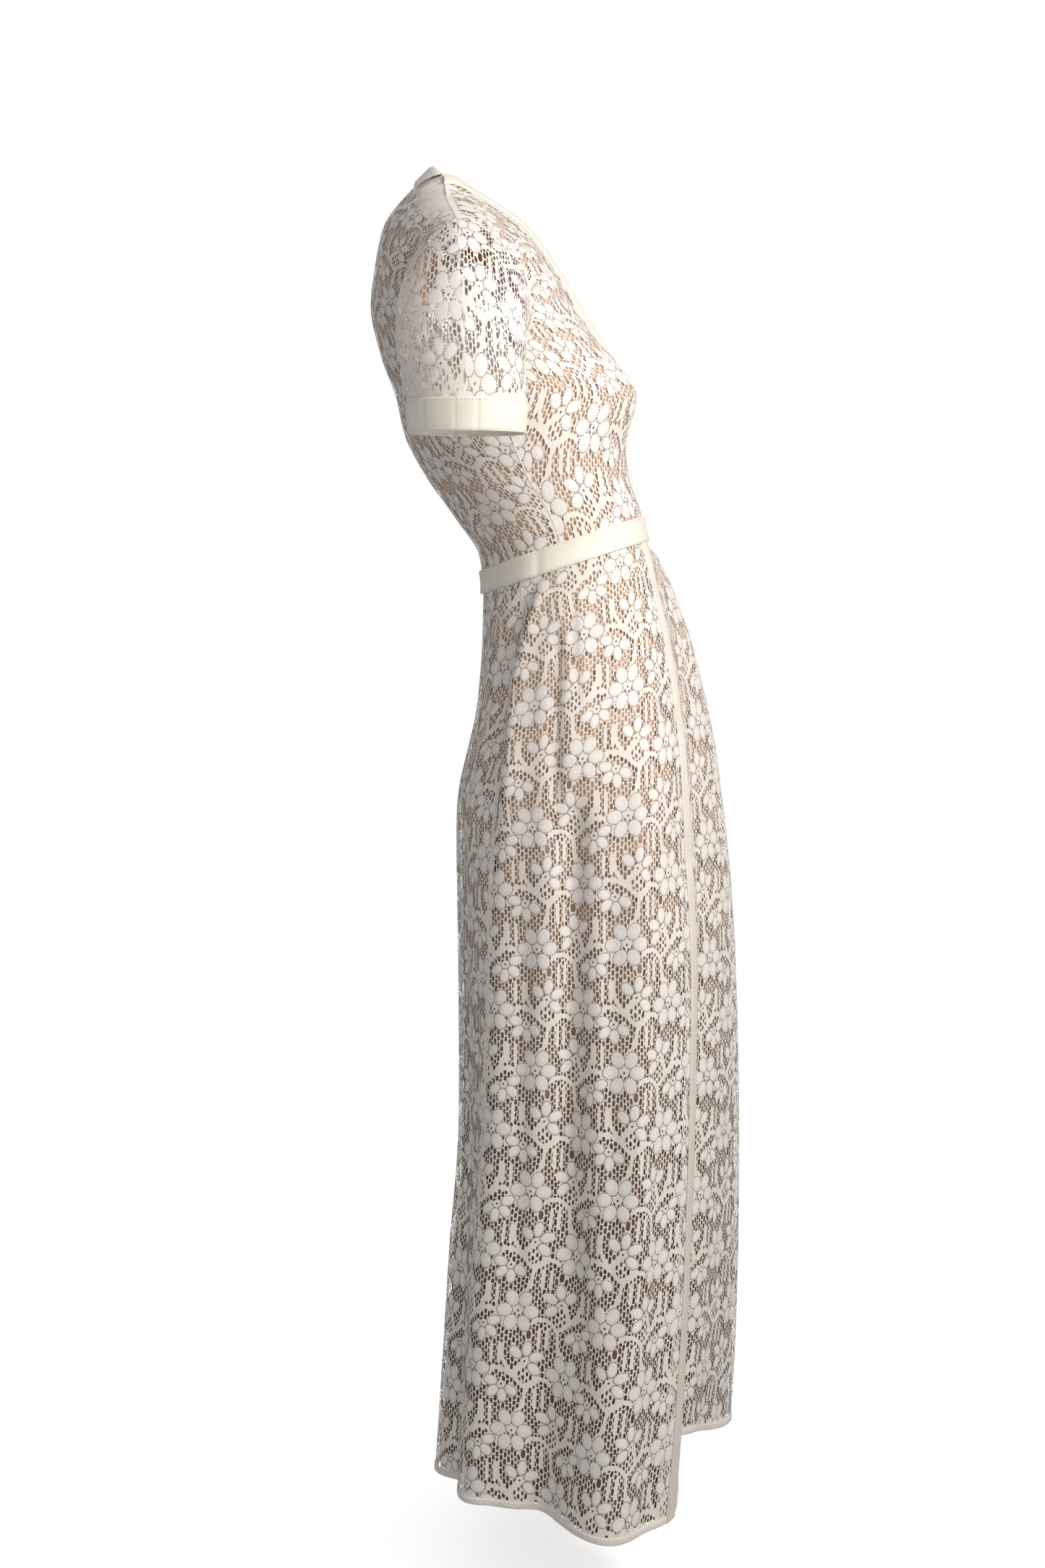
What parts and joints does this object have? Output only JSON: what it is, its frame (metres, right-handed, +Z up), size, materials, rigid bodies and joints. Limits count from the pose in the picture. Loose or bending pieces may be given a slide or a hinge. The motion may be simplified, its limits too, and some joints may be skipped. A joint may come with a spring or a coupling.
{
  "type": "lace maxi dress",
  "caption": "Long dress of ivory floral lace over a peach lining, with a V neck, short sleeves, plain bands at neck, cuffs and waist, and a front edge ribbon.",
  "frame": {"origin": "midway between the neck points of the two shoulder seams, where the wearer's shoulders hold the dress up", "axes": "+Z up, front toward -Y, the wearer's right toward -X"},
  "size_m": [0.568, 0.3911, 1.3642],
  "materials": {
    "lace": "matt cotton lace",
    "band": "soft cream ribbon",
    "lining": "thin peach cloth"
  },
  "bodies": {
    "root": {"bodice_front_right": "lace", "bodice_front_left": "lace", "bodice_back": "lace", "sleeve_front_right": "lace", "sleeve_back_right": "lace", "sleeve_front_left": "lace", "sleeve_back_left": "lace", "skirt_front_right": "lace", "skirt_back_right": "lace", "skirt_back_left": "lace", "skirt_front_left": "lace", "neck_binding_right": "band", "neck_binding_left": "band", "neck_binding_back": "band", "cuff_right": "band", "cuff_left": "band", "waistband": "band", "front_ribbon": "band", "lining_front_right": "lining", "lining_front_left": "lining", "lining_back": "lining", "lining_skirt_front_right": "lining", "lining_skirt_back_right": "lining", "lining_skirt_back_left": "lining", "lining_skirt_front_left": "lining"}
  },
  "joints": []
}
